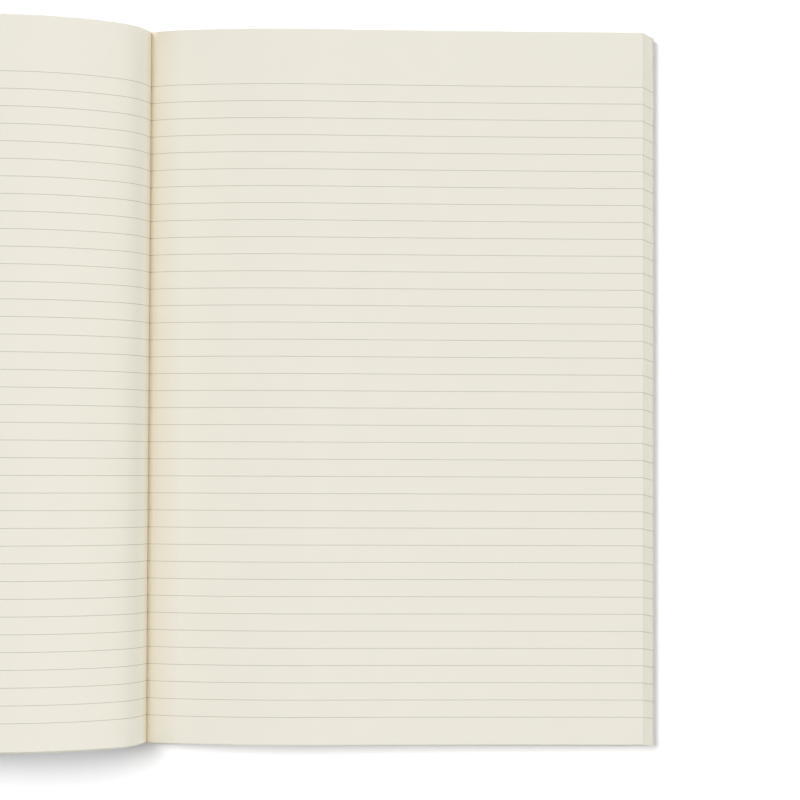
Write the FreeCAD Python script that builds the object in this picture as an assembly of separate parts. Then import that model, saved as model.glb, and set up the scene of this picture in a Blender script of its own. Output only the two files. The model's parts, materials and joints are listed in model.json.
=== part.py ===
import FreeCAD, Part
import math
import os
from FreeCAD import Vector

# An open composition notebook, in millimetres. It lies open near its front: the leaves on the
# right lie flat on the back cover, and the leaves on the left spring up from the gutter in an
# arch, with the front cover under them, and come down to the table at their fore-edge.
# X runs across the pages, Y up the page and Z up from the table.

# Leaves
PAGE_WIDTH = 179.0
PAGE_HEIGHT = 252.0
RIGHT_SPINE_DEPTH = 6.6
LEFT_STACK = 2.5
GUTTER_DEPTH = 2.6
LEAF_CLEARANCE = 0.25

# Covers, both of one card
COVER_CARD = 0.7
BACK_SPINE_EDGE = 1.0

# Arch of the left leaves, from the gutter to its crest
SPRING_ANGLE = 78.7
ROOT_RUN = 1.2
ROOT_RADIUS = 34.6
ROOT_TURN = 14.1
SHOULDER_RADIUS = 21.6
SHOULDER_TURN = 26.0
CREST_RADIUS = 69.2

# Swell of the right leaves, beside the gutter
SWELL_ANGLE = 32.2
SWELL_RADIUS = 33.5
SWELL_TURN = 20.3
HUMP_RADIUS = 178.9
FALL_ANGLE = 3.9
FORE_ANGLE = 0.6

# Fore-edge of the right leaves: square for the lower ones, drawn in towards the gutter above
SHOULDER_HEIGHT = 4.3
SHOULDER_INSET = 0.3
SHOULDER_ROUND = 3.0

# Spine: where its flat back ends and the fold under the gutter starts
SPINE_TOP_X = -1.0
SPINE_TOP_Z = 5.0

# Lining glued to the spine, and the cloth tape over it, which is let into both covers
LINING = 0.25
LINING_END = 0.5
TAPE = 0.25
GLUE_LINE = 0.05
TAPE_ON_BACK = 18.0
TAPE_ON_FRONT = 15.0
TAPE_CORNER = 0.35
TAPE_FOLD = 0.8

# Sewing thread, in kerfs sawn across the spine
STATIONS = 8
STATION_MARGIN = 18.0
THREAD = 0.5
LINK_STITCH = 0.7
THREAD_CLEARANCE = 0.05
THREAD_RUN_SHARE = 0.5

HALF_TURN = 180.0
SEARCH_STEPS = 60
SMALLEST_FALL = 1.0
SAME_POINT = 1e-6


def direction(angle):
    """Unit vector in the X-Z section at an angle in degrees from +X towards +Z."""
    turn = math.radians(angle)
    return Vector(math.cos(turn), 0, math.sin(turn))


def left_of(angle):
    """Unit vector on the left of a path that heads along an angle."""
    turn = math.radians(angle)
    return Vector(-math.sin(turn), 0, math.cos(turn))


def straight(length):
    return ("run", length, 0.0)


def bend(radius, turn):
    """An arc of a path: a turn above zero goes to the left."""
    return ("arc", radius, turn)


def trace(start, heading, path, offset):
    """Edges of a path moved to its left by an offset, with its own end point and heading."""
    edges = []
    point = start
    angle = heading
    for kind, size, turn in path:
        if kind == "run":
            first = point + left_of(angle) * offset
            point = point + direction(angle) * size
            last = point + left_of(angle) * offset
            edges.append(Part.LineSegment(first, last).toShape())
        else:
            side = math.copysign(size, turn)
            centre = point + left_of(angle) * side
            reach = side - offset
            marks = [centre - left_of(angle + turn * share) * reach for share in (0.0, 0.5, 1.0)]
            edges.append(Part.Arc(marks[0], marks[1], marks[2]).toShape())
            angle = angle + turn
            point = centre - left_of(angle) * side
    return edges, point, angle


def piece_length(kind, size, turn):
    return size if kind == "run" else size * abs(math.radians(turn))


def path_length(path):
    return sum(piece_length(*piece) for piece in path)


def total_turn(path):
    """All that a path turns to its left, in radians."""
    return math.radians(sum(turn for _, _, turn in path))


def first_part(path, length):
    """The start of a path, cut off at a length."""
    kept = []
    for kind, size, turn in path:
        share = min(1.0, length / piece_length(kind, size, turn))
        if share <= 0:
            break
        length -= piece_length(kind, size, turn)
        kept.append((kind, size * share, 0.0) if kind == "run" else (kind, size, turn * share))
    return kept


def moved_path(path, offset):
    """The path of a face that lies at an offset to the left of another one."""
    return [
        (kind, size if kind == "run" else size - math.copysign(offset, turn), turn)
        for kind, size, turn in path
    ]


def start_of(item):
    return item if isinstance(item, Vector) else item.valueAt(item.FirstParameter)


def end_of(item):
    return item if isinstance(item, Vector) else item.valueAt(item.LastParameter)


def prism(outline, low, high):
    """Solid between two heights of the page, on a closed outline of edges and corner points."""
    edges = []
    for number, item in enumerate(outline):
        if not isinstance(item, Vector):
            edges.append(item)
        gap_start = end_of(item)
        gap_end = start_of(outline[(number + 1) % len(outline)])
        if gap_start.distanceToPoint(gap_end) > SAME_POINT:
            edges.append(Part.LineSegment(gap_start, gap_end).toShape())
    face = Part.Face(Part.Wire(edges))
    face.translate(Vector(0, low, 0))
    return face.extrude(Vector(0, high - low, 0))


def backwards(edges):
    """The same run of edges, drawn from its far end."""
    turned = []
    for edge in reversed(edges):
        first = start_of(edge)
        last = end_of(edge)
        if isinstance(edge.Curve, Part.Circle):
            middle = edge.valueAt((edge.FirstParameter + edge.LastParameter) / 2)
            turned.append(Part.Arc(last, middle, first).toShape())
        else:
            turned.append(Part.LineSegment(last, first).toShape())
    return turned


def band(start, heading, path, inner, outer, low, high):
    """Solid strip between two offsets of one path."""
    near = trace(start, heading, path, inner)[0]
    far = trace(start, heading, path, outer)[0]
    return prism(near + backwards(far), low, high)


BOTTOM = -PAGE_HEIGHT / 2
TOP = PAGE_HEIGHT / 2
GUTTER = Vector(0, 0, COVER_CARD + RIGHT_SPINE_DEPTH)
SPRING_HEADING = HALF_TURN - SPRING_ANGLE
COVER_INNER = LEFT_STACK + LEAF_CLEARANCE
COVER_OUTER = COVER_INNER + COVER_CARD
LEAF_RUN = PAGE_WIDTH - GUTTER_DEPTH
RECESS = TAPE + 2 * GLUE_LINE


def arch_to_crest():
    """Path of the uppermost left page from the gutter to the crest, where it is level."""
    crest_turn = SPRING_ANGLE - ROOT_TURN - SHOULDER_TURN
    root = bend(ROOT_RADIUS, ROOT_TURN)
    shoulder = bend(SHOULDER_RADIUS, SHOULDER_TURN)
    crest = bend(CREST_RADIUS, crest_turn)
    return [straight(ROOT_RUN), root, shoulder, crest]


def fall_to_table(crest_path):
    """Arc beyond the crest that uses up the page and sets the cover's fore-edge on the table."""
    crest = trace(GUTTER, SPRING_HEADING, crest_path, 0.0)[1]
    length_left = LEAF_RUN - path_length(crest_path)
    low = math.radians(SMALLEST_FALL)
    high = math.pi / 2
    for _ in range(SEARCH_STEPS):
        turn = (low + high) / 2
        under_radius = length_left / turn - COVER_OUTER
        creep = COVER_OUTER * (math.radians(SPRING_ANGLE) + turn)
        height = crest.z - COVER_OUTER - under_radius * (1 - math.cos(turn)) - creep * math.sin(turn)
        if height > 0:
            low = turn
        else:
            high = turn
    return bend(length_left / turn, math.degrees(turn))


def left_path():
    crest_path = arch_to_crest()
    return crest_path + [fall_to_table(crest_path)]


def left_face(path, offset):
    """Edges of a face of the left leaves or their cover, down to its fore-edge.

    A lower face turns through the same angle on tighter arcs, so it reaches further out.
    """
    start = GUTTER + direction(SPRING_HEADING) * (path_length(left_path()) - path_length(path))
    creep = straight(offset * total_turn(path))
    return trace(start, SPRING_HEADING, path + [creep] * (offset > 0), offset)[0]


def right_path():
    """Path of the uppermost right page: it swells beside the gutter and settles outwards."""
    swell = bend(SWELL_RADIUS, -SWELL_TURN)
    hump = bend(HUMP_RADIUS, -(SWELL_ANGLE - SWELL_TURN + FALL_ANGLE))
    length_left = LEAF_RUN - path_length([swell, hump])
    settle_turn = FALL_ANGLE - FORE_ANGLE
    settle = bend(length_left / math.radians(settle_turn), settle_turn)
    return [swell, hump, settle]


def spine_start():
    """Lowest corner of the spine's back, on the back cover."""
    return Vector(BACK_SPINE_EDGE, 0, COVER_CARD)


def heading_of(line):
    return math.degrees(math.atan2(line.z, line.x))


def right_fore_edge():
    """Edges of the right leaves' ends, from the lowest leaf up to the uppermost page."""
    foot = Vector(BACK_SPINE_EDGE + PAGE_WIDTH, 0, COVER_CARD)
    shoulder = foot + Vector(-SHOULDER_INSET, 0, SHOULDER_HEIGHT)
    page_end = trace(GUTTER, SWELL_ANGLE, right_path(), 0.0)[1]
    square = shoulder - foot
    drawn_in = page_end - shoulder
    turn = heading_of(drawn_in) - heading_of(square)
    cut_short = SHOULDER_ROUND * math.tan(math.radians(turn / 2))
    path = [straight(square.Length - cut_short), bend(SHOULDER_ROUND, turn)]
    path += [straight(drawn_in.Length - cut_short)]
    return trace(foot, heading_of(square), path, 0.0)[0]


def spine_heading():
    return heading_of(Vector(SPINE_TOP_X, 0, SPINE_TOP_Z) - spine_start())


def left_stack_corner():
    """Spine corner of the lowest left leaf."""
    return GUTTER + left_of(SPRING_HEADING) * LEFT_STACK


def spine_path():
    """The spine's flat back, and its fold below the gutter."""
    spine_top = Vector(SPINE_TOP_X, 0, SPINE_TOP_Z)
    chord = left_stack_corner() - spine_top
    side = chord.dot(left_of(spine_heading()))
    radius = chord.Length ** 2 / (2 * side)
    turn = 2 * math.degrees(math.asin(chord.Length / (2 * radius)))
    flat = (spine_top - spine_start()).Length
    return [straight(flat), bend(radius, turn)]


def station_heights():
    step = (PAGE_HEIGHT - 2 * STATION_MARGIN) / (STATIONS - 1)
    return [BOTTOM + STATION_MARGIN + number * step for number in range(STATIONS)]


def thread_stretches():
    """Centre lines and widths of the thread: a doubled link at each station, and its long run."""
    heading = spine_heading()
    flat = spine_path()[0][1]
    foot = spine_start() + left_of(heading) * (-LINK_STITCH / 2 - THREAD_CLEARANCE)
    low = foot + direction(heading) * LINK_STITCH
    high = foot + direction(heading) * (flat - LINK_STITCH)
    middle = low + (high - low) * THREAD_RUN_SHARE
    heights = station_heights()
    stretches = []
    for height in heights:
        lift = Vector(0, height, 0)
        stretches.append((low + lift, high + lift, LINK_STITCH))
    run_start = middle + Vector(0, heights[0], 0)
    run_end = middle + Vector(0, heights[-1], 0)
    stretches.append((run_start, run_end, THREAD))
    return stretches


def sewing_thread():
    """One thread, linked up the back of the sections at each station."""
    rods = []
    for start, end, width in thread_stretches():
        line = end - start
        rods.append(Part.makeCylinder(width / 2, line.Length, start, line))
    return rods[0].multiFuse(rods[1:])


def saw_kerfs():
    """Square grooves in the spine's back that take the thread."""
    out = left_of(spine_heading())
    grooves = []
    for start, end, width in thread_stretches():
        along = (end - start).normalize()
        across = along.cross(out)
        half = width / 2 + THREAD_CLEARANCE
        foot = start - along * half
        corners = [
            foot + across * half - out * half,
            foot - across * half - out * half,
            foot - across * half + out * LINK_STITCH,
            foot + across * half + out * LINK_STITCH,
        ]
        face = Part.Face(Part.makePolygon(corners + corners[:1]))
        grooves.append(face.extrude(along * ((end - start).Length + 2 * half)))
    return grooves


def text_block():
    """All the leaves: the left arch and the right stack meet at the gutter."""
    back = trace(spine_start(), spine_heading(), spine_path(), 0.0)[0]
    left_under = left_face(left_path(), LEFT_STACK)
    left_top = left_face(left_path(), 0.0)
    right_top = trace(GUTTER, SWELL_ANGLE, right_path(), 0.0)[0]
    outline = back + left_under + backwards(left_top) + right_top + backwards(right_fore_edge())
    leaves = prism(outline, BOTTOM, TOP)
    return leaves.cut(saw_kerfs())


def spine_lining():
    """Strip of open cloth glued to the sewn sections, from the back cover to the gutter's fold."""
    flat, fold = spine_path()
    start = spine_start() + direction(spine_heading()) * LINING_END
    path = [straight(flat[1] - LINING_END), fold]
    return band(start, spine_heading(), path, 0.0, LINING, BOTTOM + LINING_END, TOP - LINING_END)


def tape_path():
    """Start and path of the tape's glued face: under the back cover, up the spine, up the front."""
    inner = LINING + GLUE_LINE
    level = TAPE + GLUE_LINE
    heading = spine_heading()
    spine_foot = spine_start() + left_of(heading) * inner
    to_level = (level - spine_foot.z) / direction(heading).z
    corner = spine_foot + direction(heading) * to_level
    corner_turn = HALF_TURN - heading
    corner_run = TAPE_CORNER * math.tan(math.radians(corner_turn / 2))
    start = Vector(BACK_SPINE_EDGE + TAPE_ON_BACK, 0, level)
    flat, fold = moved_path(spine_path(), inner)
    path = [straight(start.x - corner.x - corner_run), bend(TAPE_CORNER, -corner_turn)]
    path += [straight(flat[1] - to_level - corner_run), fold]

    # From the fold below the gutter the tape turns up on to the outer face of the front cover.
    outer = COVER_OUTER - GLUE_LINE - TAPE
    _, fold_end, fold_heading = trace(start, HALF_TURN, path, 0.0)
    normal = left_of(SPRING_HEADING)
    short_of = outer - (fold_end - GUTTER).dot(normal)
    reach = short_of / direction(fold_heading).dot(normal)
    meet = fold_end + direction(fold_heading) * reach - GUTTER
    turn_up = fold_heading - SPRING_HEADING
    fold_run = TAPE_FOLD * math.tan(math.radians(turn_up / 2))
    root_left = ROOT_RUN - meet.dot(direction(SPRING_HEADING)) - fold_run
    path += [straight(reach - fold_run), bend(TAPE_FOLD, -turn_up), straight(root_left)]
    path += moved_path(first_part(left_path()[1:], TAPE_ON_FRONT), outer)
    return start, path


def spine_tape():
    """Cloth tape, one piece, round the spine and on to the outer face of both covers."""
    start, path = tape_path()
    return band(start, HALF_TURN, path, 0.0, TAPE, BOTTOM, TOP)


def tape_recess():
    """Room for the tape in the covers, open outwards."""
    start, path = tape_path()
    return band(start, HALF_TURN, path, -GLUE_LINE, RECESS, BOTTOM - RECESS, TOP + RECESS)


def front_cover():
    """Card cover under the left leaves, in the same arch."""
    path = left_path()[1:]
    inner = left_face(path, COVER_INNER)
    outer = left_face(path, COVER_OUTER)
    return prism(inner + backwards(outer), BOTTOM, TOP).cut(tape_recess())


def back_cover():
    """Card cover flat on the table, trimmed flush with the lowest leaf."""
    card = Part.makeBox(PAGE_WIDTH, PAGE_HEIGHT, COVER_CARD, Vector(BACK_SPINE_EDGE, BOTTOM, 0))
    return card.cut(tape_recess())


def front_hinge():
    """Line at the front cover's spine edge, next to the leaves, on which it turns."""
    return GUTTER + direction(SPRING_HEADING) * ROOT_RUN + left_of(SPRING_HEADING) * COVER_INNER


def main():
    os.makedirs("parts", exist_ok=True)
    solids = {
        "text_block": text_block(),
        "sewing_thread": sewing_thread(),
        "spine_lining": spine_lining(),
        "spine_tape": spine_tape(),
        "front_cover": front_cover(),
        "back_cover": back_cover(),
    }
    box = FreeCAD.BoundBox()
    for solid in solids.values():
        box.add(solid.optimalBoundingBox())
    # The origin is on the table, at the middle of the open notebook.
    shift = Vector(-box.Center.x, 0, 0)
    for name, solid in solids.items():
        solid.translate(shift)
        solid.exportStep("parts/" + name + ".step")
        print(name, solid.isValid(), len(solid.Solids), round(solid.Volume, 1))
    for name, line in (("front", front_hinge()), ("back", spine_start()), ("gutter", GUTTER)):
        placed = line + shift
        print(name, "line at X", round(placed.x, 4), "Z", round(placed.z, 4))


main()
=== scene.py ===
"""An open composition notebook: its leaves, ruling, covers, spine and the table it lies on.

The section of the leaves is a chain of tangent arcs, as in the solids: the left leaves spring up
from the gutter in an arch and come down to the table, and the right leaves swell beside the
gutter and lie flat on the back cover. X runs across the pages, Y up the page and Z up.
"""

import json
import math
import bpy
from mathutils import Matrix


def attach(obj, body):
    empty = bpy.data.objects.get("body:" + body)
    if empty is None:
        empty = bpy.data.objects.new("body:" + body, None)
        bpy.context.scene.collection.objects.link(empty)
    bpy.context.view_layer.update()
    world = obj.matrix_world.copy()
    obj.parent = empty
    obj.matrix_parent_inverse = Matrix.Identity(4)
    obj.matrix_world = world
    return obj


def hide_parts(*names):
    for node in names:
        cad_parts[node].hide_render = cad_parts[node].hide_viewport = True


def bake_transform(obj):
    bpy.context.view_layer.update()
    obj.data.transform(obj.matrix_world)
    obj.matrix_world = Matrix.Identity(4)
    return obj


bl_info = {
    "name": "Open composition notebook",
    "version": (1, 0, 0),
    "blender": (4, 5, 0),
    "location": "3D View > Sidebar > Notebook",
    "description": "Builds the leaves, ruling, covers and spine of an open composition notebook",
    "category": "Object",
}

import bmesh
import bpy
from bpy.props import FloatProperty, FloatVectorProperty, IntProperty, PointerProperty
from mathutils import Matrix, Vector

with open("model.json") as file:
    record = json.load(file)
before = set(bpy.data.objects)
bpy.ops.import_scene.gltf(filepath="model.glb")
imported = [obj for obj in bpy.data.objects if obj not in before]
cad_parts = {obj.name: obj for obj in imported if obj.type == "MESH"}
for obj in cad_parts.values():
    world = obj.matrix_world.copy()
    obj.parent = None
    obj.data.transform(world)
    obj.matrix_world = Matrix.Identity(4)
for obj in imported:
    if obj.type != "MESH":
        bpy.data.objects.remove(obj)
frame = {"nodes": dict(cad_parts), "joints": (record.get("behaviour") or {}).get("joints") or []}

MM = 0.001
HALF_TURN = 180.0

# The section of the notebook, in millimetres from the middle of the table under the gutter.
PAGE_WIDTH = 179.0
PAGE_HEIGHT = 252.0
RIGHT_SPINE_DEPTH = 6.6
LEFT_STACK = 2.5
GUTTER_DEPTH = 2.6
LEAF_CLEARANCE = 0.25
COVER_CARD = 0.7
BACK_SPINE_EDGE = 1.0
SPRING_ANGLE = 78.7
ROOT_RUN = 1.2
ROOT = (34.6, 14.1)
SHOULDER = (21.6, 26.0)
CREST_RADIUS = 69.2
SWELL_ANGLE = 32.2
SWELL = (33.5, -20.3)
HUMP_RADIUS = 178.9
FALL_ANGLE = 3.9
FORE_ANGLE = 0.6
SHOULDER_HEIGHT = 4.3
SHOULDER_INSET = 0.3
SHOULDER_ROUND = 3.0
SPINE_TOP = Vector((-1.0, 5.0))
SPINE_FOOT = Vector((BACK_SPINE_EDGE, COVER_CARD))
LINING = 0.25
TAPE = 0.25
GLUE_LINE = 0.05
TAPE_ON_BACK = 18.0
TAPE_ON_FRONT = 15.0
TAPE_CORNER = 0.35
TAPE_FOLD = 0.8

GUTTER = Vector((0.0, COVER_CARD + RIGHT_SPINE_DEPTH))
SPRING_HEADING = HALF_TURN - SPRING_ANGLE
COVER_OUTER = LEFT_STACK + LEAF_CLEARANCE + COVER_CARD
LEAF_RUN = PAGE_WIDTH - GUTTER_DEPTH
LOWEST_LEAF_START = 2.0

PROFILE_SPACING = 0.4
SEARCH_STEPS = 60
SMALLEST_FALL = 1.0


def joint_place(name):
    """Where a joint of the frame is, in metres."""
    return next(Vector(joint["pos_m"]) for joint in frame["joints"] if joint["name"] == name)


# The foot of the spine is the line on which the back cover turns.
SHIFT = joint_place("back_cover_turn").x - BACK_SPINE_EDGE * MM


def placed(point, height=0.0):
    """A point of the section, in the frame's metres."""
    return Vector((point.x * MM + SHIFT, height * MM, point.y * MM))


# Paths in the section, as lists of runs (length, 0) and arcs (radius, turn to the left).


def ahead(heading):
    turn = math.radians(heading)
    return Vector((math.cos(turn), math.sin(turn)))


def left_of(heading):
    turn = math.radians(heading)
    return Vector((-math.sin(turn), math.cos(turn)))


def piece_length(size, turn):
    return size * abs(math.radians(turn)) if turn else size


def path_length(path):
    return sum(piece_length(size, turn) for size, turn in path)


def walk(start, heading, path, offset=0.0, spacing=PROFILE_SPACING):
    """Points along a path moved to its left by an offset, and the heading at its end."""
    points = [start + left_of(heading) * offset]
    for size, turn in path:
        steps = max(1, math.ceil(piece_length(size, turn) / spacing))
        if not turn:
            for step in range(steps):
                along = size * (step + 1) / steps
                points.append(start + ahead(heading) * along + left_of(heading) * offset)
            start = start + ahead(heading) * size
            continue
        side = math.copysign(size, turn)
        centre = start + left_of(heading) * side
        for step in range(steps):
            angle = heading + turn * (step + 1) / steps
            points.append(centre - left_of(angle) * (side - offset))
        heading += turn
        start = centre - left_of(heading) * side
    return points, heading


def end_of(start, heading, path):
    return walk(start, heading, path)[0][-1]


def first_part(path, length):
    """The start of a path, cut off at a length."""
    kept = []
    for size, turn in path:
        share = min(1.0, length / piece_length(size, turn))
        if share <= 0:
            break
        length -= piece_length(size, turn)
        kept.append((size, turn * share) if turn else (size * share, 0.0))
    return kept


def moved_path(path, offset):
    """The path of a face that lies at an offset to the left of another one."""
    return [(size - math.copysign(offset, turn) if turn else size, turn) for size, turn in path]


def fall_to_table(crest_path):
    """Arc beyond the crest that uses up the page and sets the cover's fore-edge on the table."""
    crest_height = end_of(GUTTER, SPRING_HEADING, crest_path).y
    length_left = LEAF_RUN - path_length(crest_path)
    low = math.radians(SMALLEST_FALL)
    high = math.pi / 2
    for _ in range(SEARCH_STEPS):
        turn = (low + high) / 2
        under_radius = length_left / turn - COVER_OUTER
        creep = COVER_OUTER * (math.radians(SPRING_ANGLE) + turn)
        drop = under_radius * (1 - math.cos(turn)) + creep * math.sin(turn)
        if crest_height - COVER_OUTER - drop > 0:
            low = turn
        else:
            high = turn
    return length_left / turn, math.degrees(turn)


def left_path():
    """Uppermost left page, from the gutter over the crest to its fore-edge."""
    crest = (CREST_RADIUS, SPRING_ANGLE - ROOT[1] - SHOULDER[1])
    crest_path = [(ROOT_RUN, 0.0), ROOT, SHOULDER, crest]
    return crest_path + [fall_to_table(crest_path)]


def right_path():
    """Uppermost right page: it swells beside the gutter and settles outwards."""
    hump = (HUMP_RADIUS, -(SWELL_ANGLE + SWELL[1] + FALL_ANGLE))
    settle_turn = FALL_ANGLE - FORE_ANGLE
    length_left = LEAF_RUN - path_length([SWELL, hump])
    return [SWELL, hump, (length_left / math.radians(settle_turn), settle_turn)]


def heading_of(line):
    return math.degrees(math.atan2(line.y, line.x))


def right_fore_edge():
    """Ends of the right leaves, from the uppermost page down to the lowest leaf."""
    foot = Vector((BACK_SPINE_EDGE + PAGE_WIDTH, COVER_CARD))
    shoulder = foot + Vector((-SHOULDER_INSET, SHOULDER_HEIGHT))
    square = shoulder - foot
    drawn_in = end_of(GUTTER, SWELL_ANGLE, right_path()) - shoulder
    turn = heading_of(drawn_in) - heading_of(square)
    cut_short = SHOULDER_ROUND * math.tan(math.radians(turn / 2))
    path = [(square.length - cut_short, 0.0), (SHOULDER_ROUND, turn), (drawn_in.length - cut_short, 0.0)]
    return walk(foot, heading_of(square), path)[0][::-1]


def left_face(offset):
    """Points of a lower face of the left leaves; it reaches further out, on tighter arcs."""
    path = left_path()
    creep = offset * math.radians(sum(turn for _, turn in path))
    return walk(GUTTER, SPRING_HEADING, path + [(creep, 0.0)], offset)[0]


def left_stack_corner():
    return GUTTER + left_of(SPRING_HEADING) * LEFT_STACK


def spine_heading():
    return heading_of(SPINE_TOP - SPINE_FOOT)


def spine_path():
    """The spine's flat back, and its fold below the gutter."""
    chord = left_stack_corner() - SPINE_TOP
    side = chord.dot(left_of(spine_heading()))
    radius = chord.length ** 2 / (2 * side)
    turn = 2 * math.degrees(math.asin(chord.length / (2 * radius)))
    return [((SPINE_TOP - SPINE_FOOT).length, 0.0), (radius, turn)]


def tape_paths():
    """The tape's glued face: its start and path under the back cover and half way up the spine,
    and its start, heading and path from there to its end on the front cover."""
    inner = LINING + GLUE_LINE
    level = TAPE + GLUE_LINE
    heading = spine_heading()
    foot = SPINE_FOOT + left_of(heading) * inner
    to_level = (level - foot.y) / ahead(heading).y
    corner = foot + ahead(heading) * to_level
    corner_turn = HALF_TURN - heading
    corner_run = TAPE_CORNER * math.tan(math.radians(corner_turn / 2))
    start = Vector((BACK_SPINE_EDGE + TAPE_ON_BACK, level))
    flat, fold = moved_path(spine_path(), inner)
    flat_run = flat[0] - to_level - corner_run
    back = [(start.x - corner.x - corner_run, 0.0), (TAPE_CORNER, -corner_turn), (flat_run / 2, 0.0)]
    middle = end_of(start, HALF_TURN, back)

    # From the fold below the gutter the tape turns up on to the outer face of the front cover.
    front = [(flat_run / 2, 0.0), fold]
    outer = COVER_OUTER - GLUE_LINE - TAPE
    points, fold_heading = walk(middle, heading, front)
    normal = left_of(SPRING_HEADING)
    reach = (outer - (points[-1] - GUTTER).dot(normal)) / ahead(fold_heading).dot(normal)
    meet = points[-1] + ahead(fold_heading) * reach - GUTTER
    turn_up = fold_heading - SPRING_HEADING
    fold_run = TAPE_FOLD * math.tan(math.radians(turn_up / 2))
    root_left = ROOT_RUN - meet.dot(ahead(SPRING_HEADING)) - fold_run
    front += [(reach - fold_run, 0.0), (TAPE_FOLD, -turn_up), (root_left, 0.0)]
    front += moved_path(first_part(left_path()[1:], TAPE_ON_FRONT), outer)
    return (start, HALF_TURN, back), (middle, heading, front)


# Values that a user would change.


def length_property(name, description, default):
    return FloatProperty(
        name=name, description=description, default=default, min=0.0, unit="LENGTH", precision=6
    )


def colour_property(name, description, default):
    return FloatVectorProperty(
        name=name, description=description, default=default, size=3, min=0.0, max=1.0, subtype="COLOR"
    )


class NotebookLeaves(bpy.types.PropertyGroup):
    """The stack of leaves and its paper."""

    right_leaves: IntProperty(name="Right leaves", description="Leaves on the right", default=86, min=2)
    left_leaves: IntProperty(name="Left leaves", description="Leaves on the left", default=26, min=2)
    right_steps: IntProperty(name="Right steps", description="Faces along a right leaf", default=64, min=8)
    left_steps: IntProperty(name="Left steps", description="Faces along a left leaf", default=96, min=8)
    section: IntProperty(name="Section", description="Leaves sewn in one section", default=12, min=1)
    thickness: length_property("Leaf thickness", "Thickness of one leaf", 0.000095)
    leaf_scatter: length_property("Leaf scatter", "How far single leaves fall short at the edge", 0.0001)
    section_scatter: length_property("Section scatter", "How far sections fall short", 0.00012)
    head_scatter: length_property("Head scatter", "How far single leaves lie up or down", 0.00005)
    slip: length_property("Slip", "How far the uppermost leaves lie up the page", 0.00088)
    slip_depth: length_property("Slip depth", "How deep in the stack leaves still slip", 0.0056)
    paper: colour_property("Paper", "Colour of the paper", (0.752, 0.728, 0.64))
    # Gutter and crease are painted light, not the paper's own colour. The darker, warmer tone beside the
    # gutter is painted shade and bounced light. The paler tone deep in the gutter is painted light that
    # lifts the crease's shade. The two reaches below say how far these go on each side.
    gutter: colour_property("Painted gutter shade", "Colour of the paper beside the gutter", (0.695, 0.635, 0.515))
    crease: colour_property("Painted crease light", "Colour of the paper deep in the gutter", (0.99, 0.905, 0.72))
    right_painted_gutter_reach: length_property("Right painted gutter reach", "How far the gutter's warm tint reaches on the right", 0.013)
    left_painted_gutter_reach: length_property("Left painted gutter reach", "How far the gutter's warm tint reaches on the left", 0.005)


class NotebookRuling(bpy.types.PropertyGroup):
    """The ruled lines."""

    lines: IntProperty(name="Lines", description="Ruled lines on a page", default=38, min=1)
    first_line: length_property("First line", "Height of the first line above the middle", 0.106467)
    pitch: length_property("Pitch", "Distance from line to line", 0.0060235)
    width: length_property("Width", "Width of a line", 0.00015)
    film: length_property("Film", "Height of the ink above the paper", 0.000012)
    mark_width: length_property("Mark width", "Width of the ink at a leaf's edge", 0.00022)
    register: length_property("Register", "How far the print of leaves differs in place", 0.00012)
    ink: colour_property("Ink", "Colour of the lines", (0.36, 0.345, 0.275))


class NotebookCovers(bpy.types.PropertyGroup):
    """Covers, tape, lining and thread."""

    card: colour_property("Card", "Outer face of the covers", (0.022, 0.022, 0.024))
    liner: colour_property("Liner", "Inner face of the covers", (0.66, 0.63, 0.54))
    core: colour_property("Core", "Cut edges of the covers", (0.13, 0.115, 0.098))
    tape: colour_property("Tape", "Cloth tape on the spine", (0.018, 0.018, 0.020))
    lining: colour_property("Lining", "Open cloth on the sections", (0.62, 0.58, 0.47))
    thread: colour_property("Thread", "Sewing thread", (0.70, 0.66, 0.55))


class NotebookStage(bpy.types.PropertyGroup):
    """Floor, light and camera."""

    lens: FloatProperty(name="Lens", description="Focal length in millimetres", default=101.25, min=1.0)
    camera_place: FloatVectorProperty(
        name="Camera", description="Camera's place", default=(0.078894, -0.030261, 0.80579), size=3,
        subtype="TRANSLATION", unit="LENGTH",
    )
    camera_tilt: FloatProperty(
        name="Tilt", description="Camera's tilt up the page", default=math.radians(1.884),
        subtype="ANGLE",
    )
    camera_roll: FloatProperty(
        name="Roll", description="Camera's roll", default=math.radians(0.211), subtype="ANGLE"
    )
    sky: FloatProperty(name="Sky", description="Strength of the even light", default=0.3, min=0.0)
    key: FloatProperty(name="Key", description="Strength of the key light", default=2.1, min=0.0)
    key_size: FloatProperty(
        name="Key size", description="How wide the key light is", default=math.radians(22.0),
        subtype="ANGLE",
    )
    key_from: FloatVectorProperty(
        name="Key from", description="Where the key light comes from", default=(-0.5, 0.25, 1.0), size=3
    )
    fill: FloatProperty(name="Fill", description="Strength of the fill light", default=1.6, min=0.0)
    fill_size: FloatProperty(
        name="Fill size", description="How wide the fill light is", default=math.radians(20.0),
        subtype="ANGLE",
    )
    fill_from: FloatVectorProperty(
        name="Fill from", description="Where the fill light comes from", default=(2.2, 0.0, 1.0), size=3
    )
    floor: FloatProperty(name="Floor", description="How pale the floor is", default=0.92, min=0.0, max=1.0)
    floor_glow: FloatProperty(
        name="Floor glow", description="White that the camera sees in the floor", default=0.09, min=0.0
    )


# Node trees and materials.


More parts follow.
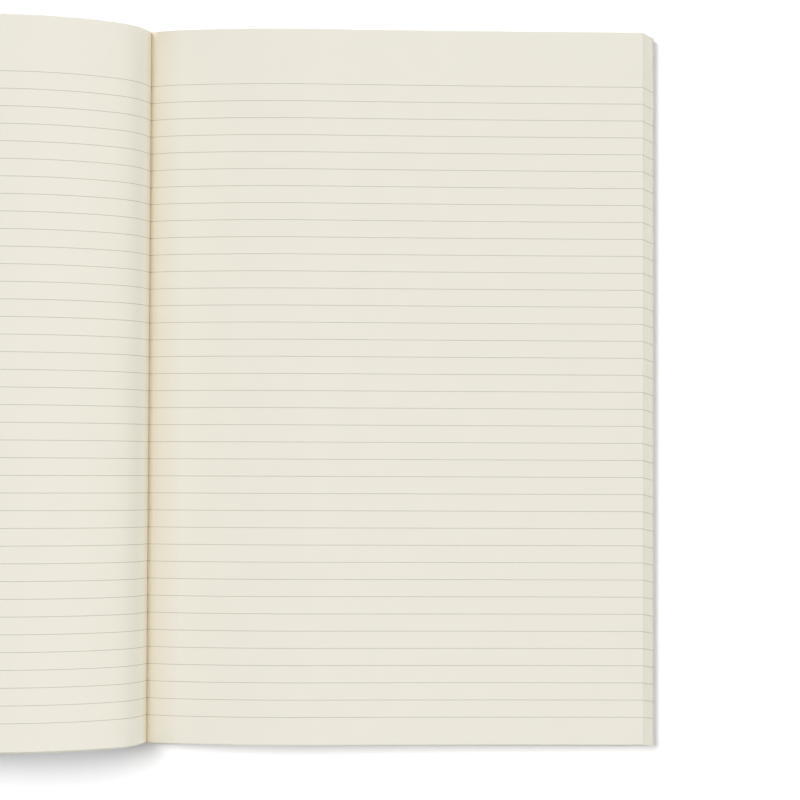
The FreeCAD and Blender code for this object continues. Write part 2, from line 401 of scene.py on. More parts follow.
class NodeWriter:
    """Adds nodes to a tree, with their inputs given as values or as other nodes' outputs."""

    def __init__(self, tree):
        self.tree = tree

    def add(self, kind, inputs=None, output=0, **settings):
        node = self.tree.nodes.new(kind)
        for name, setting in settings.items():
            setattr(node, name, setting)
        for key, value in (inputs or {}).items():
            self.plug(value, node.inputs[key])
        return node.outputs[output] if len(node.outputs) else node

    def plug(self, value, socket):
        if isinstance(value, bpy.types.NodeSocket):
            self.tree.links.new(value, socket)
        else:
            socket.default_value = value

    def parts(self, vector):
        """The X, Y and Z of a vector."""
        split = self.tree.nodes.new("ShaderNodeSeparateXYZ")
        self.plug(vector, split.inputs[0])
        return split.outputs

    def math(self, operation, first, second=0.0):
        return self.add("ShaderNodeMath", {0: first, 1: second}, operation=operation)

    def vector(self, operation, first, second=(0.0, 0.0, 0.0), output=0):
        return self.add("ShaderNodeVectorMath", {0: first, 1: second}, output, operation=operation)

    def scaled(self, vector, factor):
        return self.add("ShaderNodeVectorMath", {0: vector, "Scale": factor}, operation="SCALE")

    def mixed(self, factor, first, second):
        """A colour between two others."""
        inputs = {"Factor": factor, 6: first, 7: second}
        return self.add("ShaderNodeMix", inputs, 2, data_type="RGBA")


class GeometryTree(NodeWriter):
    """A geometry node tree with named inputs."""

    def __init__(self, name, inputs):
        super().__init__(bpy.data.node_groups.new(name, "GeometryNodeTree"))
        for label, kind in inputs.items():
            self.tree.interface.new_socket(label, in_out="INPUT", socket_type="NodeSocket" + kind)
        self.tree.interface.new_socket("Geometry", in_out="OUTPUT", socket_type="NodeSocketGeometry")
        self.entry = self.tree.nodes.new("NodeGroupInput")
        self.exit = self.tree.nodes.new("NodeGroupOutput")

    def input(self, label):
        return self.entry.outputs[label]

    def finish(self, geometry, material):
        """Ends the tree in plain faces with their material."""
        real = self.add("GeometryNodeRealizeInstances", {0: geometry})
        done = self.add("GeometryNodeSetMaterial", {"Geometry": real, "Material": self.input(material)})
        self.tree.links.new(done, self.exit.inputs[0])
        return self.tree

    def store(self, geometry, name, value, kind="FLOAT", domain="POINT"):
        inputs = {"Geometry": geometry, "Name": name, "Value": value}
        return self.add("GeometryNodeStoreNamedAttribute", inputs, data_type=kind, domain=domain)

    def stored(self, name, kind="FLOAT"):
        return self.add("GeometryNodeInputNamedAttribute", {"Name": name}, data_type=kind)

    def curve_of(self, label):
        return self.add("GeometryNodeObjectInfo", {"Object": self.input(label)}, "Geometry")

    def on_curve(self, label, factor, output="Position"):
        inputs = {"Curves": self.curve_of(label), "Factor": factor}
        return self.add("GeometryNodeSampleCurve", inputs, output, mode="FACTOR")

    def random(self, low, high, key, seed):
        """A number between two others, the same for one key each time."""
        inputs = {2: low, 3: high, "ID": key, "Seed": seed}
        return self.add("FunctionNodeRandomValue", inputs, 1, data_type="FLOAT")

    def bars(self, columns, count, label):
        """Bars cut into columns, one for each number, with their own places kept on their points:
        `along` from 0 to 1, `across` and `depth` from -0.5 to 0.5, and the bar's number."""
        steps = self.math("ADD", columns, 1.0)
        bar = self.add("GeometryNodeMeshCube", {"Vertices X": steps, "Vertices Y": 2, "Vertices Z": 2})
        parts = self.parts(self.add("GeometryNodeInputPosition"))
        bar = self.store(bar, "along", self.math("ADD", parts["X"], 0.5))
        bar = self.store(bar, "across", parts["Y"])
        bar = self.store(bar, "depth", parts["Z"])
        line = self.add("GeometryNodeMeshLine", {"Count": count})
        bars = self.add("GeometryNodeInstanceOnPoints", {"Points": line, "Instance": bar})
        number = self.add("GeometryNodeInputIndex")
        bars = self.store(bars, label, number, "INT", "INSTANCE")
        return self.add("GeometryNodeRealizeInstances", {0: bars})


LEAF_INPUTS = {
    "Top page": "Object",
    "Lowest page": "Object",
    "Spine": "Object",
    "Fore-edge": "Object",
    "Leaves": "Int",
    "Steps": "Int",
    "Section": "Int",
    "Page height": "Float",
    "Leaf thickness": "Float",
    "Leaf scatter": "Float",
    "Section scatter": "Float",
    "Head scatter": "Float",
    "Slip": "Float",
    "Slip share": "Float",
    "Seed": "Int",
}
UP_THE_PAGE = (0.0, 1.0, 0.0)
# How much shorter the faces get beside the gutter.
CLOSER_TO_GUTTER = 1.4
# How late along a leaf it starts to follow the shape of the fore-edge.
FORE_EDGE_REACH = 3.0
# The most of its share of the stack that a leaf fills, and that a line's mark fills of the leaf.
PACKED_SHARE = 0.9
MARKED_SHARE = 0.9
# What is added to the seed, so that no two kinds of scatter are alike.
SECTION_SEED = 1.0
HEAD_SEED = 2.0
REGISTER_SEED = 3.0


def station(tree, along):
    """Faces are shorter near the gutter, where the page bends more."""
    return tree.math("POWER", along, CLOSER_TO_GUTTER)


def page_normal(tree, factor):
    """Straight out of the uppermost page: upwards on the right, downwards on the left."""
    return tree.vector("CROSS_PRODUCT", tree.on_curve("Top page", factor, "Tangent"), UP_THE_PAGE)


def leaf_reach(tree, leaf):
    """How far a leaf reaches, 1 being the page's width: all but the uppermost one fall short."""
    seed = tree.input("Seed")
    section = tree.math("FLOOR", tree.math("DIVIDE", leaf, tree.input("Section")))
    short = tree.math(
        "ADD",
        tree.random(0.0, tree.input("Leaf scatter"), leaf, seed),
        tree.random(0.0, tree.input("Section scatter"), section, tree.math("ADD", seed, SECTION_SEED)),
    )
    short = tree.math("MULTIPLY", short, tree.math("MINIMUM", leaf, 1.0))
    return tree.math("SUBTRACT", 1.0, tree.math("DIVIDE", short, LEAF_RUN * MM))


def leaf_share(tree, factor, down):
    """How much of the way down the stack the thickness of one leaf takes."""
    stack = tree.vector("DOT_PRODUCT", down, page_normal(tree, factor), output="Value")
    return tree.math(
        "MINIMUM",
        tree.math("DIVIDE", PACKED_SHARE, tree.input("Leaves")),
        tree.math("DIVIDE", tree.input("Leaf thickness"), tree.math("ABSOLUTE", stack)),
    )


def leaf_place(tree, leaf, along, depth):
    """A point of a leaf, `along` from 0 at the gutter to 1, `depth` from 0 on its upper face."""
    factor = tree.math("MULTIPLY", along, leaf_reach(tree, leaf))
    top = tree.on_curve("Top page", factor)
    down = tree.vector("SUBTRACT", tree.on_curve("Lowest page", factor), top)
    thickness = leaf_share(tree, factor, down)
    number = tree.math("DIVIDE", leaf, tree.math("SUBTRACT", tree.input("Leaves"), 1.0))
    share = tree.math(
        "ADD",
        tree.math("MULTIPLY", number, tree.math("SUBTRACT", 1.0, thickness)),
        tree.math("MULTIPLY", depth, thickness),
    )
    place = tree.vector("ADD", top, tree.scaled(down, share))
    top_end = tree.on_curve("Top page", 1.0)
    down_end = tree.vector("SUBTRACT", tree.on_curve("Lowest page", 1.0), top_end)
    straight_end = tree.vector("ADD", top_end, tree.scaled(down_end, share))
    bulge = tree.vector("SUBTRACT", tree.on_curve("Fore-edge", share), straight_end)
    place = tree.vector("ADD", place, tree.scaled(bulge, tree.math("POWER", along, FORE_EDGE_REACH)))
    return place, share


def slipped(tree, share):
    """How far a leaf slips up the page: most on top, and not at all further down."""
    left = tree.math("SUBTRACT", 1.0, tree.math("DIVIDE", share, tree.input("Slip share")))
    return tree.math("MULTIPLY", tree.input("Slip"), tree.math("MAXIMUM", left, 0.0))


def either_way(tree, label, leaf, own_seed):
    """A leaf's own scatter, up or down the page by at most the input of this label."""
    most = tree.input(label)
    least = tree.math("MULTIPLY", most, -1.0)
    return tree.random(least, most, leaf, tree.math("ADD", tree.input("Seed"), own_seed))


def line_height(tree, line, width_label):
    """How far up the page a point of a ruled line is."""
    down = tree.math("MULTIPLY", line, tree.input("Pitch"))
    middle = tree.math("SUBTRACT", tree.input("First line"), down)
    return tree.math("ADD", middle, tree.math("MULTIPLY", tree.stored("across"), tree.input(width_label)))


def raised(tree, bars, place, height):
    """Bars with their points at a place of the section, and at a height up the page."""
    place = tree.vector("ADD", place, tree.add("ShaderNodeCombineXYZ", {"Y": height}))
    return tree.add("GeometryNodeSetPosition", {"Geometry": bars, "Position": place})


def leaf_tree():
    """Leaves between two pages of a stack, each from the spine's back to its fore-edge."""
    tree = GeometryTree("notebook_leaves", {**LEAF_INPUTS, "Painted gutter reach": "Float", "Paper": "Material"})
    columns = tree.math("ADD", tree.input("Steps"), 1.0)
    bars = tree.bars(columns, tree.input("Leaves"), "leaf")
    leaf = tree.stored("leaf", "INT")
    column = tree.math("MULTIPLY", tree.stored("along"), columns)
    past_root = tree.math("MAXIMUM", tree.math("SUBTRACT", column, 1.0), 0.0)
    along = station(tree, tree.math("DIVIDE", past_root, tree.input("Steps")))
    depth = tree.math("SUBTRACT", 0.5, tree.stored("depth"))
    place, share = leaf_place(tree, leaf, along, depth)
    root = tree.on_curve("Spine", share)
    at_root = tree.math("LESS_THAN", column, 0.5)
    place = tree.add("GeometryNodeSwitch", {0: at_root, 1: place, 2: root}, input_type="VECTOR")
    height = tree.math("MULTIPLY", tree.stored("across"), tree.input("Page height"))
    height = tree.math("ADD", height, either_way(tree, "Head scatter", leaf, HEAD_SEED))
    height = tree.math("ADD", height, slipped(tree, share))
    leaves = raised(tree, bars, place, height)
    # Distance along the leaf in reaches of the painted gutter shade. The paper uses it to paint shade
    # beside the gutter and light in its crease.
    past_gutter = tree.math("DIVIDE", LEAF_RUN * MM, tree.input("Painted gutter reach"))
    leaves = tree.store(leaves, "past_gutter", tree.math("MULTIPLY", along, past_gutter))
    return tree.finish(leaves, "Paper")


def ruling_tree():
    """Ruled lines on the uppermost page, from the gutter to the fore-edge."""
    inputs = {
        "Top page": "Object", "Steps": "Int", "Lines": "Int", "First line": "Float", "Pitch": "Float",
        "Width": "Float", "Film": "Float", "Upwards": "Float", "Ink": "Material",
    }
    tree = GeometryTree("notebook_ruling", inputs)
    bars = tree.bars(tree.input("Steps"), tree.input("Lines"), "line")
    along = station(tree, tree.stored("along"))
    place = tree.on_curve("Top page", along)
    rise = tree.math("MULTIPLY", tree.math("MULTIPLY", tree.stored("depth"), 2.0), tree.input("Film"))
    rise = tree.math("MULTIPLY", rise, tree.input("Upwards"))
    height = line_height(tree, tree.stored("line", "INT"), "Width")
    place = tree.vector("ADD", place, tree.scaled(page_normal(tree, along), rise))
    return tree.finish(raised(tree, bars, place, height), "Ink")


def edge_mark_tree():
    """Ink of the lines where they run off each leaf, seen on the fore-edge."""
    inputs = {
        **LEAF_INPUTS, "Lines": "Int", "First line": "Float", "Pitch": "Float", "Mark width": "Float",
        "Mark depth": "Float", "Register": "Float", "Ink": "Material",
    }
    tree = GeometryTree("notebook_edge_marks", inputs)
    marks = tree.math("MULTIPLY", tree.input("Leaves"), tree.input("Lines"))
    bars = tree.bars(1.0, marks, "mark")
    mark = tree.stored("mark", "INT")
    leaf = tree.math("FLOOR", tree.math("DIVIDE", mark, tree.input("Lines")))
    line = tree.math("SUBTRACT", mark, tree.math("MULTIPLY", leaf, tree.input("Lines")))
    depth = tree.math("SUBTRACT", 0.5, tree.math("MULTIPLY", tree.stored("depth"), MARKED_SHARE))
    place, share = leaf_place(tree, leaf, 1.0, depth)
    out = tree.on_curve("Top page", 1.0, "Tangent")
    proud = tree.math("SUBTRACT", tree.stored("along"), 0.5)
    proud = tree.math("MULTIPLY", proud, tree.input("Mark depth"))
    place = tree.vector("ADD", place, tree.scaled(out, proud))
    height = line_height(tree, line, "Mark width")
    height = tree.math("ADD", height, either_way(tree, "Register", leaf, REGISTER_SEED))
    height = tree.math("ADD", height, slipped(tree, share))
    return tree.finish(raised(tree, bars, place, height), "Ink")


def profile(name, points):
    """A polyline of the section, for a tree to follow."""
    curve = bpy.data.curves.new(name, "CURVE")
    curve.dimensions = "3D"
    spline = curve.splines.new("POLY")
    spline.points.add(len(points) - 1)
    for spot, point in zip(spline.points, points):
        spot.co = (*placed(point), 1.0)
    guide = bpy.data.objects.new(name, curve)
    bpy.context.scene.collection.objects.link(guide)
    return guide


SHARP_ANGLE = 30.0
BAR_ATTRIBUTES = ("along", "across", "depth", "leaf", "line", "mark")


def grown(name, tree, values):
    """The plain mesh that a tree makes with these values for its named inputs."""
    seed_mesh = bpy.data.meshes.new(name + "_seed")
    piece = bpy.data.objects.new(name + "_seed", seed_mesh)
    bpy.context.scene.collection.objects.link(piece)
    modifier = piece.modifiers.new(name, "NODES")
    modifier.node_group = tree
    sockets = {item.name: item.identifier for item in tree.interface.items_tree if item.in_out == "INPUT"}
    for label, value in values.items():
        modifier[sockets[label]] = value
    graph = bpy.context.evaluated_depsgraph_get()
    mesh = bpy.data.meshes.new_from_object(piece.evaluated_get(graph))
    piece.modifiers.clear()
    bpy.data.objects.remove(piece)
    bpy.data.meshes.remove(seed_mesh)
    if not mesh.polygons:
        raise RuntimeError(name + " came out empty")
    return mesh


def joined(name, meshes, material):
    """One object of several meshes, smooth but for its sharp edges."""
    merged = bmesh.new()
    for mesh in meshes:
        merged.from_mesh(mesh)
        bpy.data.meshes.remove(mesh)
    mesh = bpy.data.meshes.new(name)
    merged.to_mesh(mesh)
    merged.free()
    mesh.materials.clear()
    mesh.materials.append(material)
    mesh.shade_smooth()
    mesh.set_sharp_from_angle(angle=math.radians(SHARP_ANGLE))
    for name_on_bar in BAR_ATTRIBUTES:
        if name_on_bar in mesh.attributes:
            mesh.attributes.remove(mesh.attributes[name_on_bar])
    piece = bpy.data.objects.new(name, mesh)
    bpy.context.scene.collection.objects.link(piece)
    return piece


def shaded(colour, factor=1.0):
    return tuple(channel * factor for channel in colour) + (1.0,)


class Finish(NodeWriter):
    """A material that is being written, on its own shader."""

    def __init__(self, name):
        self.material = bpy.data.materials.new(name)
        self.material.use_nodes = True
        super().__init__(self.material.node_tree)
        self.shader = self.tree.nodes["Principled BSDF"]

    def object_place(self):
        return self.add("ShaderNodeTexCoord", output="Object")

    def noise(self, where, per_metre, detail=2.0, stretch=(1.0, 1.0, 1.0)):
        """Noise with so many features in a metre."""
        mapped = self.add("ShaderNodeMapping", {"Vector": where, "Scale": stretch})
        return self.add("ShaderNodeTexNoise", {"Vector": mapped, "Scale": per_metre, "Detail": detail})

    def spread(self, value, low, high):
        return self.add("ShaderNodeMapRange", {"Value": value, "To Min": low, "To Max": high})

    def varied(self, factor, colour, darkest, palest):
        """A colour that goes from darker than itself to paler."""
        return self.mixed(factor, shaded(colour, darkest), shaded(colour, palest))

    def faded(self, distance, reach):
        """1 at no distance, and 0 from the reach on."""
        inputs = {"Value": distance, "From Min": 0.0, "From Max": reach, "To Min": 1.0, "To Max": 0.0}
        return self.add("ShaderNodeMapRange", inputs)

    def coated(self, tone, height, relief, looks):
        """The material with its colour, its relief in metres and its shader's other values."""
        bump = self.add("ShaderNodeBump", {"Height": height, "Distance": relief, "Strength": 1.0})
        for name, value in {"Base Color": tone, "Normal": bump, **looks}.items():
            self.plug(value, self.shader.inputs[name])
        return self.material


# Fibres lie up the page, and the layers of card lie flat.
FIBRE_STRETCH = (1.0, 0.35, 1.0)
LAYER_STRETCH = (1.0, 1.0, 18.0)
FIBRE_SHADE = 0.8
# How much of the painted gutter shade's reach the painted light of the crease has.
PAINTED_CREASE_LIGHT_SHARE = 0.24


def paper_material(colour, painted_gutter_shade, painted_crease_light):
    """Smooth writing paper: faint clouds and fibres, with painted warm shade beside the gutter and painted
    light deep in its crease.
    """
    finish = Finish("cream_paper")
    where = finish.object_place()
    clouds = finish.noise(where, per_metre=90.0, detail=3.0)
    fibres = finish.noise(where, per_metre=2600.0, stretch=FIBRE_STRETCH)
    tone = finish.varied(clouds, colour, darkest=0.985, palest=1.012)
    tone = finish.mixed(finish.spread(fibres, low=0.0, high=0.05), tone, shaded(colour, FIBRE_SHADE))
    past_gutter = finish.add("ShaderNodeAttribute", output="Fac", attribute_name="past_gutter")
    # Painted shade: a darker, warmer tone beside the gutter.
    tone = finish.mixed(finish.faded(past_gutter, reach=1.0), tone, shaded(painted_gutter_shade))
    # Painted light: a paler tone deep in the crease, lifting its shade.
    tone = finish.mixed(finish.faded(past_gutter, reach=PAINTED_CREASE_LIGHT_SHARE), tone, shaded(painted_crease_light))
    looks = {"Roughness": 0.82, "Specular IOR Level": 0.25}
    return finish.coated(tone, fibres, relief=0.000008, looks=looks)


def ink_material(colour):
    """Pale grey printing ink that covers the fibres unevenly."""
    finish = Finish("grey_ink")
    cover = finish.noise(finish.object_place(), per_metre=1400.0)
    tone = finish.varied(cover, colour, darkest=0.85, palest=1.15)
    looks = {"Roughness": 0.7, "Specular IOR Level": 0.3}
    return finish.coated(tone, cover, relief=0.000004, looks=looks)


# How far the normal of a face of the card tilts out of the card's plane, or up the page.
FACE_TILT = 0.1
TRIMMED_TILT = 0.7


def card_material(outer, liner, core):
    """Pressed card: grained black outside, plain paper inside, grey board on its cut edges."""
    finish = Finish("cover_card")
    where = finish.object_place()
    grain = finish.noise(where, per_metre=1500.0, detail=4.0)
    clouds = finish.noise(where, per_metre=60.0, detail=3.0)
    layers = finish.noise(where, per_metre=400.0, stretch=LAYER_STRETCH)
    outside = finish.varied(clouds, outer, darkest=0.85, palest=1.25)
    inside = finish.varied(grain, liner, darkest=0.96, palest=1.03)
    edge = finish.varied(layers, core, darkest=0.75, palest=1.3)
    facing = finish.parts(finish.add("ShaderNodeTexCoord", output="Normal"))
    upper = finish.math("GREATER_THAN", facing["Z"], FACE_TILT)
    lower = finish.math("LESS_THAN", facing["Z"], -FACE_TILT)
    trimmed = finish.math("GREATER_THAN", finish.math("ABSOLUTE", facing["Y"]), TRIMMED_TILT)
    tone = finish.mixed(upper, finish.mixed(lower, edge, outside), inside)
    tone = finish.mixed(trimmed, tone, edge)
    looks = {"Roughness": finish.spread(grain, low=0.5, high=0.68)}
    return finish.coated(tone, grain, relief=0.00004, looks=looks)


# What crossings, ridges and loose fibres add to the height of a weave, and the height's range.
CROSSING_SHARE = 0.5
RIDGE_SHARE = 0.25
FUZZ_SHARE = 0.4
FUZZ_PER_THREAD = 1.7
WEAVE_RANGE = (-0.4, 1.1)


def weave(finish, where, colour, threads, relief, painted_weave_shade):
    """Plain weave, warp and weft passing over each other, with so many threads in a metre."""
    sides = finish.parts(where)
    waves = [
        finish.math("SINE", finish.math("MULTIPLY", sides[axis], math.pi * threads)) for axis in ("X", "Y")
    ]
    crossing = finish.math("MULTIPLY", *waves)
    ridge = finish.math("ABSOLUTE", finish.math("ADD", *waves))
    fuzz = finish.noise(where, per_metre=threads * FUZZ_PER_THREAD, detail=3.0)
    height = finish.math("MULTIPLY", crossing, CROSSING_SHARE)
    height = finish.math("ADD", height, finish.math("MULTIPLY", ridge, RIDGE_SHARE))
    height = finish.math("ADD", height, finish.math("MULTIPLY", fuzz, FUZZ_SHARE))
    low, high = WEAVE_RANGE
    factor = finish.add("ShaderNodeMapRange", {"Value": height, "From Min": low, "From Max": high})
    # Partly painted shade and light: the tone follows the weave's height, darker in its hollows and paler
    # on its crossings. Random fuzz adds the rest.
    tone = finish.varied(factor, colour, darkest=1.0 - painted_weave_shade, palest=1.0 + painted_weave_shade)
    return finish.coated(tone, height, relief, looks={"Roughness": 0.8, "Sheen Weight": 0.25})


def tape_material(colour):
    """Fine black book cloth, woven by the tape's own UV in metres."""
    finish = Finish("tape_cloth")
    where = finish.add("ShaderNodeUVMap", uv_map="weave")
    return weave(finish, where, colour, threads=2200.0, relief=0.00005, painted_weave_shade=0.35)


def lining_material(colour):
    """Open cotton cloth, stiff with glue."""
    finish = Finish("open_cloth")
    sides = finish.parts(finish.object_place())
    where = finish.add("ShaderNodeCombineXYZ", {"X": sides["Y"], "Y": sides["Z"]})
    return weave(finish, where, colour, threads=1100.0, relief=0.00008, painted_weave_shade=0.22)


def thread_material(colour):
    """Waxed linen thread, twisted."""
    finish = Finish("waxed_thread")
    slant = {"Vector": finish.object_place(), "Rotation": (0.5, 0.0, 0.0)}
    strands = {"Vector": finish.add("ShaderNodeMapping", slant), "Scale": 900.0, "Distortion": 1.5}
    twist = finish.add("ShaderNodeTexWave", strands, bands_direction="Y")
    # Painted shade: the tone is darker in the grooves between the twisted strands and paler on them.
    tone = finish.varied(twist, colour, darkest=0.78, palest=1.1)
    return finish.coated(tone, twist, relief=0.00006, looks={"Roughness": 0.45})


def kept_material(name, kind, *values):
    """A material by its name, made the first time it is asked for."""
    return bpy.data.materials.get(name) or kind(*values)


# Operators, one for each piece or group of like pieces.


def paper(context):
    props = context.scene.notebook_leaves
    # The gutter and crease colours are painted shade and painted light.
    return kept_material("cream_paper", paper_material, props.paper, props.gutter, props.crease)


def ink(context):
    return kept_material("grey_ink", ink_material, context.scene.notebook_ruling.ink)


SEED_STEP = 10


def right_outline():
    """Lines in the section that the right leaves lie between."""
    ends = right_fore_edge()
    return {
        "Top page": walk(GUTTER, SWELL_ANGLE, right_path())[0],
        "Lowest page": [SPINE_FOOT + Vector((GUTTER_DEPTH, 0.0)), ends[-1]],
        "Spine": [SPINE_TOP, SPINE_FOOT],
        "Fore-edge": ends,
    }


def left_outline():
    """Lines in the section that the left leaves lie between."""
    top = walk(GUTTER, SPRING_HEADING, left_path())[0]
    low = left_face(LEFT_STACK)[int(LOWEST_LEAF_START / PROFILE_SPACING):]
    fold = walk(SPINE_TOP, spine_heading(), [spine_path()[1]])[0]
    return {"Top page": top, "Lowest page": low, "Spine": fold, "Fore-edge": [top[-1], low[-1]]}


def stacks(context):
    """Guides and inputs of the right and the left stack."""
    props = context.scene.notebook_leaves
    # The left stack runs the other way, so its heights are negative: its faces still point out.
    sides = (
        ("right", right_outline(), props.right_leaves, props.right_steps, 1.0),
        ("left", left_outline(), props.left_leaves, props.left_steps, -1.0),
    )
    found = {}
    for number, (side, outline, leaves, steps, upwards) in enumerate(sides):
        thickness = (outline["Top page"][-1] - outline["Lowest page"][-1]).length * MM
        guides = {label: profile(f"{side} {label}", points) for label, points in outline.items()}
        values = {
            **guides,
            "Slip": props.slip,
            "Slip share": props.slip_depth / thickness,
            "Leaves": leaves,
            "Steps": steps,
            "Section": props.section,
            "Page height": upwards * PAGE_HEIGHT * MM,
            "Leaf thickness": props.thickness,
            "Leaf scatter": props.leaf_scatter,
            "Section scatter": props.section_scatter,
            "Head scatter": props.head_scatter,
            "Seed": SEED_STEP * (number + 1),
        }
        found[side] = (values, upwards)
    return found


def remove_guides(found):
    for values, _ in found.values():
        for guide in [value for value in values.values() if isinstance(value, bpy.types.Object)]:
            bpy.data.objects.remove(guide)


class NOTEBOOK_OT_leaves(bpy.types.Operator):
    """Build every leaf of both stacks"""

    bl_idname = "notebook.leaves"
    bl_label = "Leaves"

    def execute(self, context):
        props = context.scene.notebook_leaves
        found = stacks(context)
        tree = leaf_tree()
        # How far the painted gutter shade and crease light reach on each side.
        painted_gutter_reaches = {"right": props.right_painted_gutter_reach, "left": props.left_painted_gutter_reach}
        meshes = [
            grown("leaves_" + side, tree, {**values, "Painted gutter reach": painted_gutter_reaches[side], "Paper": paper(context)})
            for side, (values, _) in found.items()
        ]
        leaves = joined("leaves", meshes, paper(context))
        remove_guides(found)
        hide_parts("text_block")
        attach(leaves, "leaves")
        return {"FINISHED"}


class NOTEBOOK_OT_ruling(bpy.types.Operator):
    """Rule both open pages and mark the lines on the fore-edges"""

    bl_idname = "notebook.ruling"
    bl_label = "Ruled lines"

    def execute(self, context):
        props = context.scene.notebook_ruling
        found = stacks(context)
        shared = {"Lines": props.lines, "Pitch": props.pitch, "Ink": ink(context)}
        line_tree, mark_tree = ruling_tree(), edge_mark_tree()
        lines, marks = [], []
        for side, (values, upwards) in found.items():
            line_values = {
                **shared, "Top page": values["Top page"], "Steps": values["Steps"],
                "First line": props.first_line + values["Slip"], "Width": upwards * props.width,
                "Film": props.film, "Upwards": upwards,
            }
            mark_values = {
                **values, **shared, "First line": props.first_line,
                "Mark width": upwards * props.mark_width, "Mark depth": 2 * props.film,
                "Register": props.register,
            }
            lines.append(grown("ruled_lines_" + side, line_tree, line_values))
            marks.append(grown("edge_marks_" + side, mark_tree, mark_values))
        pieces = [joined("ruled_lines", lines, ink(context)), joined("edge_marks", marks, ink(context))]
        remove_guides(found)
        for piece in pieces:
            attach(piece, "leaves")
        return {"FINISHED"}


TAPE_SPACING = 0.25
# The tape stops this far short of head and tail, so that it doesn't show beyond the leaves.
TAPE_TRIM = 0.45


def strip(name, start, heading, path, cloth):
    """A closed strip of tape along a path, with its UV in metres of cloth."""
    inner = walk(start, heading, path, 0.0, TAPE_SPACING)[0]
    outer = walk(start, heading, path, TAPE, TAPE_SPACING)[0]
    reach = PAGE_HEIGHT / 2 - TAPE_TRIM
    heights = (-reach, reach)
    made = bmesh.new()
    grain = made.loops.layers.uv.new("weave")
    runs = [0.0]
    for before, after in zip(inner, inner[1:]):
        runs.append(runs[-1] + (after - before).length * MM)
    rows = [
        [made.verts.new(placed(point, height)) for point in face]
        for face in (inner, outer) for height in heights
    ]
    run_of = {vert: run for row in rows for vert, run in zip(row, runs)}
    low_in, high_in, low_out, high_out = rows
    for near, far in ((low_in, high_in), (high_in, high_out), (high_out, low_out), (low_out, low_in)):
        for step in range(len(runs) - 1):
            made.faces.new((near[step], near[step + 1], far[step + 1], far[step]))
    for end in (0, -1):
        made.faces.new((low_in[end], high_in[end], high_out[end], low_out[end]))
    bmesh.ops.recalc_face_normals(made, faces=made.faces)
    for face in made.faces:
        for loop in face.loops:
            loop[grain].uv = (run_of[loop.vert], loop.vert.co.y)
    mesh = bpy.data.meshes.new(name)
    made.to_mesh(mesh)
    made.free()
    return joined(name, [mesh], cloth)


# Where the tape would start and stop bending with each cover, in the section; nothing in the script uses
# them, so the tape doesn't bend with the covers.
BACK_BEND = (Vector((0.43, 0.3)), Vector((1.0, 0.3)))
FRONT_BEND = (Vector((-3.0, 6.6)), Vector((-3.3, 8.9)))


class NOTEBOOK_OT_tape(bpy.types.Operator):
    """Lay the cloth tape round the spine, in two strips that meet half way up it"""

    bl_idname = "notebook.tape"
    bl_label = "Spine tape"

    def execute(self, context):
        colour = context.scene.notebook_covers.tape
        cloth = kept_material("tape_cloth", tape_material, colour)
        back, front = tape_paths()
        pieces = (
            ("spine_tape_back", back, "back_card", BACK_BEND),
            ("spine_tape_front", front, "front_card", FRONT_BEND),
        )
        for name, path, card, bend in pieces:
            piece = strip(name, *path, cloth)
            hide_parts("spine_tape")
            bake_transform(piece)
        return {"FINISHED"}


class NOTEBOOK_OT_covers(bpy.types.Operator):
    """Finish the covers, the spine's lining and the sewing thread"""

    bl_idname = "notebook.covers"
    bl_label = "Covers and sewing"

    def execute(self, context):
        props = context.scene.notebook_covers
        finishes = {
            "front_cover": card_material(props.card, props.liner, props.core),
            "spine_lining": lining_material(props.lining),
            "sewing_thread": thread_material(props.thread),
        }
        finishes["back_cover"] = finishes["front_cover"]
        for name, finish in finishes.items():
            node = frame["nodes"][name]
            if node.material_slots:
                node.material_slots[0].material = finish
            else:
                node.data.materials.append(finish)
        return {"FINISHED"}


FLOOR_SIZE = 6.0
LAMP_DISTANCE = 2.0
SENSOR_WIDTH = 36.0
WHITE = (1.0, 1.0, 1.0, 1.0)


def seen_plainly(writer):
    """1 for what the camera sees, also by reflection or through glass, and 0 for plain light."""
    rays = writer.tree.nodes.new("ShaderNodeLightPath")
    seen = writer.math("ADD", rays.outputs["Is Camera Ray"], rays.outputs["Is Glossy Ray"])
    return writer.math("MINIMUM", writer.math("ADD", seen, rays.outputs["Is Transmission Ray"]), 1.0)


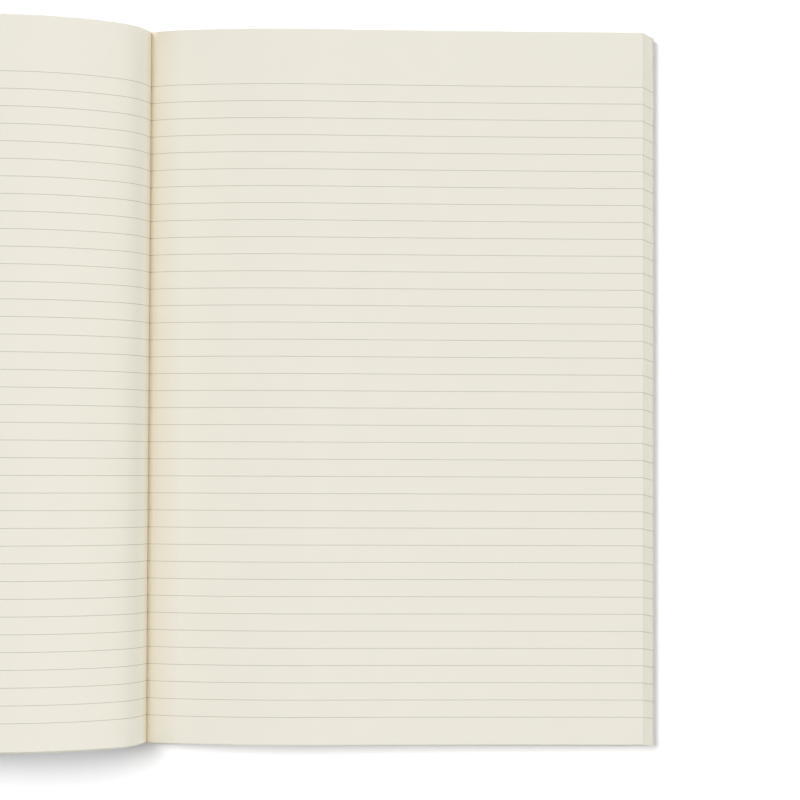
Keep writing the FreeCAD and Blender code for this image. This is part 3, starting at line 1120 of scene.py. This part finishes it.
class NOTEBOOK_OT_stage(bpy.types.Operator):
    """Set the floor, the light and the camera"""

    bl_idname = "notebook.stage"
    bl_label = "Stage"

    def execute(self, context):
        props = context.scene.notebook_stage
        self.add_floor(context, props)
        self.add_light(context, props)
        self.add_camera(context, props)
        return {"FINISHED"}

    def add_floor(self, context, props):
        made = bpy.data.materials.new("pale_floor")
        made.use_nodes = True
        writer = NodeWriter(made.node_tree)
        made.node_tree.nodes.clear()
        pale = writer.add("ShaderNodeBsdfDiffuse", {"Color": (props.floor,) * 3 + (1.0,)})
        strength = writer.math("MULTIPLY", seen_plainly(writer), props.floor_glow)
        glow = writer.add("ShaderNodeEmission", {"Color": WHITE, "Strength": strength})
        both = writer.add("ShaderNodeAddShader", {0: pale, 1: glow})
        writer.add("ShaderNodeOutputMaterial", {"Surface": both})
        half = FLOOR_SIZE / 2
        mesh = bpy.data.meshes.new("floor")
        corners = [(-half, -half, 0.0), (half, -half, 0.0), (half, half, 0.0), (-half, half, 0.0)]
        mesh.from_pydata(corners, [], [(0, 1, 2, 3)])
        mesh.materials.append(made)
        floor = bpy.data.objects.new("floor", mesh)
        context.scene.collection.objects.link(floor)

    def add_light(self, context, props):
        world = bpy.data.worlds.new("even_light")
        context.scene.world = world
        world.use_nodes = True
        world.node_tree.nodes.clear()
        writer = NodeWriter(world.node_tree)
        extra = writer.math("MULTIPLY", seen_plainly(writer), 1.0 - props.sky)
        strength = writer.math("ADD", extra, props.sky)
        light = writer.add("ShaderNodeBackground", {"Color": WHITE, "Strength": strength})
        writer.add("ShaderNodeOutputWorld", {"Surface": light})
        self.add_lamp(context, "key_light", props.key, props.key_size, props.key_from)
        self.add_lamp(context, "fill_light", props.fill, props.fill_size, props.fill_from)

    def add_lamp(self, context, name, strength, size, place):
        light = bpy.data.lights.new(name, "SUN")
        light.energy = strength
        light.angle = size
        lamp = bpy.data.objects.new(name, light)
        direction = Vector(place).normalized()
        lamp.matrix_world = direction.to_track_quat("Z", "Y").to_matrix().to_4x4()
        lamp.location = direction * LAMP_DISTANCE
        context.scene.collection.objects.link(lamp)

    def add_camera(self, context, props):
        lens = bpy.data.cameras.new("camera")
        lens.sensor_width = SENSOR_WIDTH
        lens.lens = props.lens
        camera = bpy.data.objects.new("camera", lens)
        turn = Matrix.Rotation(props.camera_tilt, 4, "X") @ Matrix.Rotation(props.camera_roll, 4, "Z")
        camera.matrix_world = Matrix.Translation(props.camera_place) @ turn
        context.scene.collection.objects.link(camera)
        context.scene.camera = camera
        context.scene.view_settings.view_transform = "Standard"


class NOTEBOOK_PT_panel(bpy.types.Panel):
    """Lists the notebook's pieces in the sidebar"""

    bl_idname = "NOTEBOOK_PT_panel"
    bl_label = "Open notebook"
    bl_space_type = "VIEW_3D"
    bl_region_type = "UI"
    bl_category = "Notebook"

    def draw(self, context):
        layout = self.layout
        for operator in OPERATORS:
            layout.operator(operator.bl_idname)
        for name in GROUPS:
            props = getattr(context.scene, name)
            box = layout.box()
            for key in props.__annotations__:
                box.prop(props, key)


GROUPS = {
    "notebook_leaves": NotebookLeaves,
    "notebook_ruling": NotebookRuling,
    "notebook_covers": NotebookCovers,
    "notebook_stage": NotebookStage,
}
OPERATORS = (
    NOTEBOOK_OT_leaves,
    NOTEBOOK_OT_ruling,
    NOTEBOOK_OT_tape,
    NOTEBOOK_OT_covers,
    NOTEBOOK_OT_stage,
)


def register():
    for kind in (*GROUPS.values(), *OPERATORS, NOTEBOOK_PT_panel):
        bpy.utils.register_class(kind)
    for name, kind in GROUPS.items():
        setattr(bpy.types.Scene, name, PointerProperty(type=kind))


def unregister():
    for name in GROUPS:
        delattr(bpy.types.Scene, name)
    for kind in reversed((*GROUPS.values(), *OPERATORS, NOTEBOOK_PT_panel)):
        bpy.utils.unregister_class(kind)


def main():
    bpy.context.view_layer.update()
    register()
    bpy.ops.notebook.leaves()
    bpy.ops.notebook.ruling()
    bpy.ops.notebook.tape()
    bpy.ops.notebook.covers()
    bpy.ops.notebook.stage()


if __name__ == "__main__":
    main()
